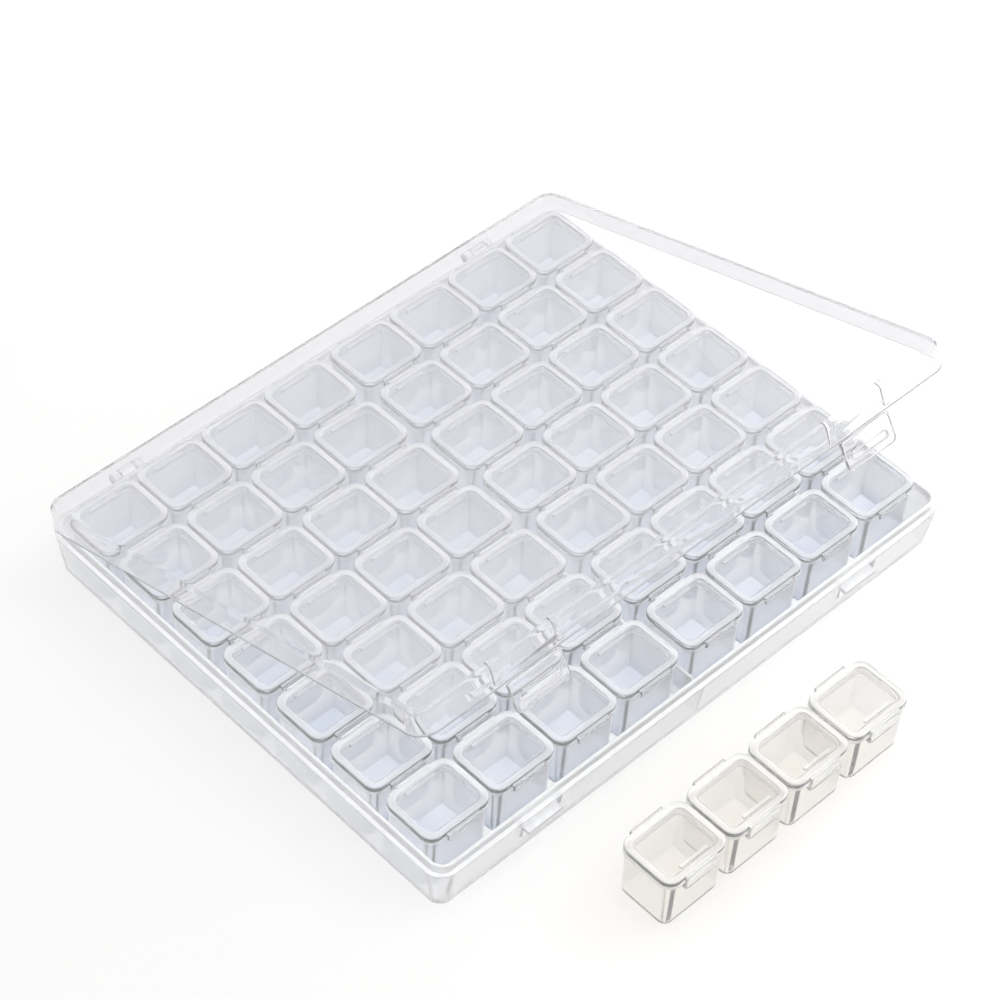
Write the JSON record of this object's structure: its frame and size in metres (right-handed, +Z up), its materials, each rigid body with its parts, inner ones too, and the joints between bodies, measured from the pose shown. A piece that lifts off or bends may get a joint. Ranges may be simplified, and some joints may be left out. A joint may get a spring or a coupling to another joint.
{
  "type": "bead storage box",
  "caption": "Low clear plastic case with a hinged lid and snap latches, holding lift-out strips of small tapered cups with flip lids for beads and other small parts.",
  "frame": {"origin": "centre of the tray's flat underside", "axes": "+X along the latch edge, +Y towards the hinge edge, +Z up"},
  "size_m": [0.211, 0.2233, 0.0791],
  "materials": {
    "clear_shell": "clear moulded polypropylene, smooth",
    "clear_latch": "clear moulded polypropylene, smooth",
    "cup_plastic": "milky clear moulded polypropylene, smooth",
    "cup_lid_plastic": "milky clear moulded polypropylene, smooth"
  },
  "bodies": {
    "tray": {"tray": "clear_shell"},
    "case_lid": {"case_lid": "clear_shell"},
    "latch_left": {"latch_left": "clear_latch"},
    "latch_right": {"latch_right": "clear_latch"},
    "strip_loose": {"strip_loose": "cup_plastic"},
    "lid_loose_1": {"lid_loose_1": "cup_lid_plastic"},
    "lid_loose_2": {"lid_loose_2": "cup_lid_plastic"},
    "lid_loose_3": {"lid_loose_3": "cup_lid_plastic"},
    "lid_loose_4": {"lid_loose_4": "cup_lid_plastic"},
    "strip_left_1": {"strip_left_1": "cup_plastic"},
    "lid_left_1_1": {"lid_left_1_1": "cup_lid_plastic"},
    "lid_left_1_2": {"lid_left_1_2": "cup_lid_plastic"},
    "lid_left_1_3": {"lid_left_1_3": "cup_lid_plastic"},
    "lid_left_1_4": {"lid_left_1_4": "cup_lid_plastic"},
    "strip_right_1": {"strip_right_1": "cup_plastic"},
    "lid_right_1_1": {"lid_right_1_1": "cup_lid_plastic"},
    "lid_right_1_2": {"lid_right_1_2": "cup_lid_plastic"},
    "lid_right_1_3": {"lid_right_1_3": "cup_lid_plastic"},
    "lid_right_1_4": {"lid_right_1_4": "cup_lid_plastic"},
    "strip_left_2": {"strip_left_2": "cup_plastic"},
    "lid_left_2_1": {"lid_left_2_1": "cup_lid_plastic"},
    "lid_left_2_2": {"lid_left_2_2": "cup_lid_plastic"},
    "lid_left_2_3": {"lid_left_2_3": "cup_lid_plastic"},
    "lid_left_2_4": {"lid_left_2_4": "cup_lid_plastic"},
    "strip_right_2": {"strip_right_2": "cup_plastic"},
    "lid_right_2_1": {"lid_right_2_1": "cup_lid_plastic"},
    "lid_right_2_2": {"lid_right_2_2": "cup_lid_plastic"},
    "lid_right_2_3": {"lid_right_2_3": "cup_lid_plastic"},
    "lid_right_2_4": {"lid_right_2_4": "cup_lid_plastic"},
    "strip_left_3": {"strip_left_3": "cup_plastic"},
    "lid_left_3_1": {"lid_left_3_1": "cup_lid_plastic"},
    "lid_left_3_2": {"lid_left_3_2": "cup_lid_plastic"},
    "lid_left_3_3": {"lid_left_3_3": "cup_lid_plastic"},
    "lid_left_3_4": {"lid_left_3_4": "cup_lid_plastic"},
    "strip_right_3": {"strip_right_3": "cup_plastic"},
    "lid_right_3_1": {"lid_right_3_1": "cup_lid_plastic"},
    "lid_right_3_2": {"lid_right_3_2": "cup_lid_plastic"},
    "lid_right_3_3": {"lid_right_3_3": "cup_lid_plastic"},
    "lid_right_3_4": {"lid_right_3_4": "cup_lid_plastic"},
    "strip_left_4": {"strip_left_4": "cup_plastic"},
    "lids_left_4": {"lids_left_4": "cup_lid_plastic"},
    "strip_right_4": {"strip_right_4": "cup_plastic"},
    "lids_right_4": {"lids_right_4": "cup_lid_plastic"},
    "strip_left_5": {"strip_left_5": "cup_plastic"},
    "lids_left_5": {"lids_left_5": "cup_lid_plastic"},
    "strip_right_5": {"strip_right_5": "cup_plastic"},
    "lids_right_5": {"lids_right_5": "cup_lid_plastic"},
    "strip_left_6": {"strip_left_6": "cup_plastic"},
    "lids_left_6": {"lids_left_6": "cup_lid_plastic"},
    "strip_right_6": {"strip_right_6": "cup_plastic"},
    "lids_right_6": {"lids_right_6": "cup_lid_plastic"},
    "strip_left_7": {"strip_left_7": "cup_plastic"},
    "lids_left_7": {"lids_left_7": "cup_lid_plastic"},
    "strip_right_7": {"strip_right_7": "cup_plastic"},
    "lids_right_7": {"lids_right_7": "cup_lid_plastic"}
  },
  "joints": [
    {"name": "case_lid_hinge", "type": "hinge", "parent": "tray", "child": "case_lid", "pos_m": [0, 0.0888, 0.0164], "axis": [-1, 0, 0], "range_deg": [-18.2, 90]},
    {"name": "latch_left_hinge", "type": "hinge", "parent": "case_lid", "child": "latch_left", "pos_m": [-0.066, -0.07878, 0.07181], "axis": [-1, 0, 0], "range_deg": [-15, 90]},
    {"name": "latch_right_hinge", "type": "hinge", "parent": "case_lid", "child": "latch_right", "pos_m": [0.066, -0.07878, 0.07181], "axis": [-1, 0, 0], "range_deg": [-15, 90]},
    {"name": "lid_loose_1_hinge", "type": "hinge", "parent": "strip_loose", "child": "lid_loose_1", "pos_m": [0.02573, -0.13185, 0.02097], "axis": [1, 0, 0], "range_deg": [0, 110]},
    {"name": "lid_loose_2_hinge", "type": "hinge", "parent": "strip_loose", "child": "lid_loose_2", "pos_m": [0.00057, -0.13185, 0.02097], "axis": [1, 0, 0], "range_deg": [0, 110]},
    {"name": "lid_loose_3_hinge", "type": "hinge", "parent": "strip_loose", "child": "lid_loose_3", "pos_m": [-0.02457, -0.13185, 0.02097], "axis": [1, 0, 0], "range_deg": [0, 110]},
    {"name": "lid_loose_4_hinge", "type": "hinge", "parent": "strip_loose", "child": "lid_loose_4", "pos_m": [-0.04972, -0.13185, 0.02097], "axis": [1, 0, 0], "range_deg": [0, 110]},
    {"name": "strip_loose_lift", "type": "slide", "parent": "tray", "child": "strip_loose", "axis": [0, 0, 1], "range_m": [0, 0.06]},
    {"name": "lid_left_1_1_hinge", "type": "hinge", "parent": "strip_left_1", "child": "lid_left_1_1", "pos_m": [-0.08903, -0.05725, 0.02237], "axis": [-1, 0, 0], "range_deg": [0, 110]},
    {"name": "lid_left_1_2_hinge", "type": "hinge", "parent": "strip_left_1", "child": "lid_left_1_2", "pos_m": [-0.06388, -0.05725, 0.02237], "axis": [-1, 0, 0], "range_deg": [0, 110]},
    {"name": "lid_left_1_3_hinge", "type": "hinge", "parent": "strip_left_1", "child": "lid_left_1_3", "pos_m": [-0.03873, -0.05725, 0.02237], "axis": [-1, 0, 0], "range_deg": [0, 110]},
    {"name": "lid_left_1_4_hinge", "type": "hinge", "parent": "strip_left_1", "child": "lid_left_1_4", "pos_m": [-0.01358, -0.05725, 0.02237], "axis": [-1, 0, 0], "range_deg": [0, 110]},
    {"name": "lid_right_1_1_hinge", "type": "hinge", "parent": "strip_right_1", "child": "lid_right_1_1", "pos_m": [0.01358, -0.05725, 0.02237], "axis": [-1, 0, 0], "range_deg": [0, 110]},
    {"name": "lid_right_1_2_hinge", "type": "hinge", "parent": "strip_right_1", "child": "lid_right_1_2", "pos_m": [0.03873, -0.05725, 0.02237], "axis": [-1, 0, 0], "range_deg": [0, 110]},
    {"name": "lid_right_1_3_hinge", "type": "hinge", "parent": "strip_right_1", "child": "lid_right_1_3", "pos_m": [0.06388, -0.05725, 0.02237], "axis": [-1, 0, 0], "range_deg": [0, 110]},
    {"name": "lid_right_1_4_hinge", "type": "hinge", "parent": "strip_right_1", "child": "lid_right_1_4", "pos_m": [0.08903, -0.05725, 0.02237], "axis": [-1, 0, 0], "range_deg": [0, 110]},
    {"name": "strip_left_1_lift", "type": "slide", "parent": "tray", "child": "strip_left_1", "axis": [0, 0, 1], "range_m": [0, 0.02]},
    {"name": "strip_right_1_lift", "type": "slide", "parent": "tray", "child": "strip_right_1", "axis": [0, 0, 1], "range_m": [0, 0.02]},
    {"name": "lid_left_2_1_hinge", "type": "hinge", "parent": "strip_left_2", "child": "lid_left_2_1", "pos_m": [-0.08903, -0.03405, 0.02237], "axis": [-1, 0, 0], "range_deg": [0, 110]},
    {"name": "lid_left_2_2_hinge", "type": "hinge", "parent": "strip_left_2", "child": "lid_left_2_2", "pos_m": [-0.06388, -0.03405, 0.02237], "axis": [-1, 0, 0], "range_deg": [0, 110]},
    {"name": "lid_left_2_3_hinge", "type": "hinge", "parent": "strip_left_2", "child": "lid_left_2_3", "pos_m": [-0.03873, -0.03405, 0.02237], "axis": [-1, 0, 0], "range_deg": [0, 110]},
    {"name": "lid_left_2_4_hinge", "type": "hinge", "parent": "strip_left_2", "child": "lid_left_2_4", "pos_m": [-0.01358, -0.03405, 0.02237], "axis": [-1, 0, 0], "range_deg": [0, 110]},
    {"name": "lid_right_2_1_hinge", "type": "hinge", "parent": "strip_right_2", "child": "lid_right_2_1", "pos_m": [0.01358, -0.03405, 0.02237], "axis": [-1, 0, 0], "range_deg": [0, 110]},
    {"name": "lid_right_2_2_hinge", "type": "hinge", "parent": "strip_right_2", "child": "lid_right_2_2", "pos_m": [0.03873, -0.03405, 0.02237], "axis": [-1, 0, 0], "range_deg": [0, 110]},
    {"name": "lid_right_2_3_hinge", "type": "hinge", "parent": "strip_right_2", "child": "lid_right_2_3", "pos_m": [0.06388, -0.03405, 0.02237], "axis": [-1, 0, 0], "range_deg": [0, 110]},
    {"name": "lid_right_2_4_hinge", "type": "hinge", "parent": "strip_right_2", "child": "lid_right_2_4", "pos_m": [0.08903, -0.03405, 0.02237], "axis": [-1, 0, 0], "range_deg": [0, 110]},
    {"name": "strip_left_2_lift", "type": "slide", "parent": "tray", "child": "strip_left_2", "axis": [0, 0, 1], "range_m": [0, 0.02]},
    {"name": "strip_right_2_lift", "type": "slide", "parent": "tray", "child": "strip_right_2", "axis": [0, 0, 1], "range_m": [0, 0.02]},
    {"name": "strip_left_3_lift", "type": "slide", "parent": "tray", "child": "strip_left_3", "axis": [0, 0, 1], "range_m": [0, 0.02]},
    {"name": "strip_right_3_lift", "type": "slide", "parent": "tray", "child": "strip_right_3", "axis": [0, 0, 1], "range_m": [0, 0.02]},
    {"name": "strip_left_4_lift", "type": "slide", "parent": "tray", "child": "strip_left_4", "axis": [0, 0, 1], "range_m": [0, 0.02]},
    {"name": "strip_right_4_lift", "type": "slide", "parent": "tray", "child": "strip_right_4", "axis": [0, 0, 1], "range_m": [0, 0.02]},
    {"name": "strip_left_5_lift", "type": "slide", "parent": "tray", "child": "strip_left_5", "axis": [0, 0, 1], "range_m": [0, 0.0179]},
    {"name": "strip_right_5_lift", "type": "slide", "parent": "tray", "child": "strip_right_5", "axis": [0, 0, 1], "range_m": [0, 0.0179]},
    {"name": "strip_left_6_lift", "type": "slide", "parent": "tray", "child": "strip_left_6", "axis": [0, 0, 1], "range_m": [0, 0.0103]},
    {"name": "strip_right_6_lift", "type": "slide", "parent": "tray", "child": "strip_right_6", "axis": [0, 0, 1], "range_m": [0, 0.0103]},
    {"name": "strip_left_7_lift", "type": "slide", "parent": "tray", "child": "strip_left_7", "axis": [0, 0, 1], "range_m": [0, 0.0027]},
    {"name": "strip_right_7_lift", "type": "slide", "parent": "tray", "child": "strip_right_7", "axis": [0, 0, 1], "range_m": [0, 0.0027]},
    {"name": "lid_left_3_1_hinge", "type": "hinge", "parent": "strip_left_3", "child": "lid_left_3_1", "pos_m": [-0.08903, -0.01085, 0.02237], "axis": [-1, 0, 0], "range_deg": [0, 110]},
    {"name": "lid_left_3_2_hinge", "type": "hinge", "parent": "strip_left_3", "child": "lid_left_3_2", "pos_m": [-0.06388, -0.01085, 0.02237], "axis": [-1, 0, 0], "range_deg": [0, 110]},
    {"name": "lid_left_3_3_hinge", "type": "hinge", "parent": "strip_left_3", "child": "lid_left_3_3", "pos_m": [-0.03873, -0.01085, 0.02237], "axis": [-1, 0, 0], "range_deg": [0, 110]},
    {"name": "lid_left_3_4_hinge", "type": "hinge", "parent": "strip_left_3", "child": "lid_left_3_4", "pos_m": [-0.01358, -0.01085, 0.02237], "axis": [-1, 0, 0], "range_deg": [0, 110]},
    {"name": "lid_right_3_1_hinge", "type": "hinge", "parent": "strip_right_3", "child": "lid_right_3_1", "pos_m": [0.01358, -0.01085, 0.02237], "axis": [-1, 0, 0], "range_deg": [0, 110]},
    {"name": "lid_right_3_2_hinge", "type": "hinge", "parent": "strip_right_3", "child": "lid_right_3_2", "pos_m": [0.03873, -0.01085, 0.02237], "axis": [-1, 0, 0], "range_deg": [0, 110]},
    {"name": "lid_right_3_3_hinge", "type": "hinge", "parent": "strip_right_3", "child": "lid_right_3_3", "pos_m": [0.06388, -0.01085, 0.02237], "axis": [-1, 0, 0], "range_deg": [0, 110]},
    {"name": "lid_right_3_4_hinge", "type": "hinge", "parent": "strip_right_3", "child": "lid_right_3_4", "pos_m": [0.08903, -0.01085, 0.02237], "axis": [-1, 0, 0], "range_deg": [0, 110]},
    {"name": "lids_left_4_hinge", "type": "hinge", "parent": "strip_left_4", "child": "lids_left_4", "pos_m": [-0.0513, 0.01235, 0.02237], "axis": [-1, 0, 0], "range_deg": [0, 110]},
    {"name": "lids_right_4_hinge", "type": "hinge", "parent": "strip_right_4", "child": "lids_right_4", "pos_m": [0.0513, 0.01235, 0.02237], "axis": [-1, 0, 0], "range_deg": [0, 110]},
    {"name": "lids_left_5_hinge", "type": "hinge", "parent": "strip_left_5", "child": "lids_left_5", "pos_m": [-0.0513, 0.03555, 0.02237], "axis": [-1, 0, 0], "range_deg": [0, 69]},
    {"name": "lids_right_5_hinge", "type": "hinge", "parent": "strip_right_5", "child": "lids_right_5", "pos_m": [0.0513, 0.03555, 0.02237], "axis": [-1, 0, 0], "range_deg": [0, 69]},
    {"name": "lids_left_6_hinge", "type": "hinge", "parent": "strip_left_6", "child": "lids_left_6", "pos_m": [-0.0513, 0.05875, 0.02237], "axis": [-1, 0, 0], "range_deg": [0, 44]},
    {"name": "lids_right_6_hinge", "type": "hinge", "parent": "strip_right_6", "child": "lids_right_6", "pos_m": [0.0513, 0.05875, 0.02237], "axis": [-1, 0, 0], "range_deg": [0, 44]},
    {"name": "lids_left_7_hinge", "type": "hinge", "parent": "strip_left_7", "child": "lids_left_7", "pos_m": [-0.0513, 0.08195, 0.02237], "axis": [-1, 0, 0], "range_deg": [0, 24]},
    {"name": "lids_right_7_hinge", "type": "hinge", "parent": "strip_right_7", "child": "lids_right_7", "pos_m": [0.0513, 0.08195, 0.02237], "axis": [-1, 0, 0], "range_deg": [0, 24]}
  ]
}
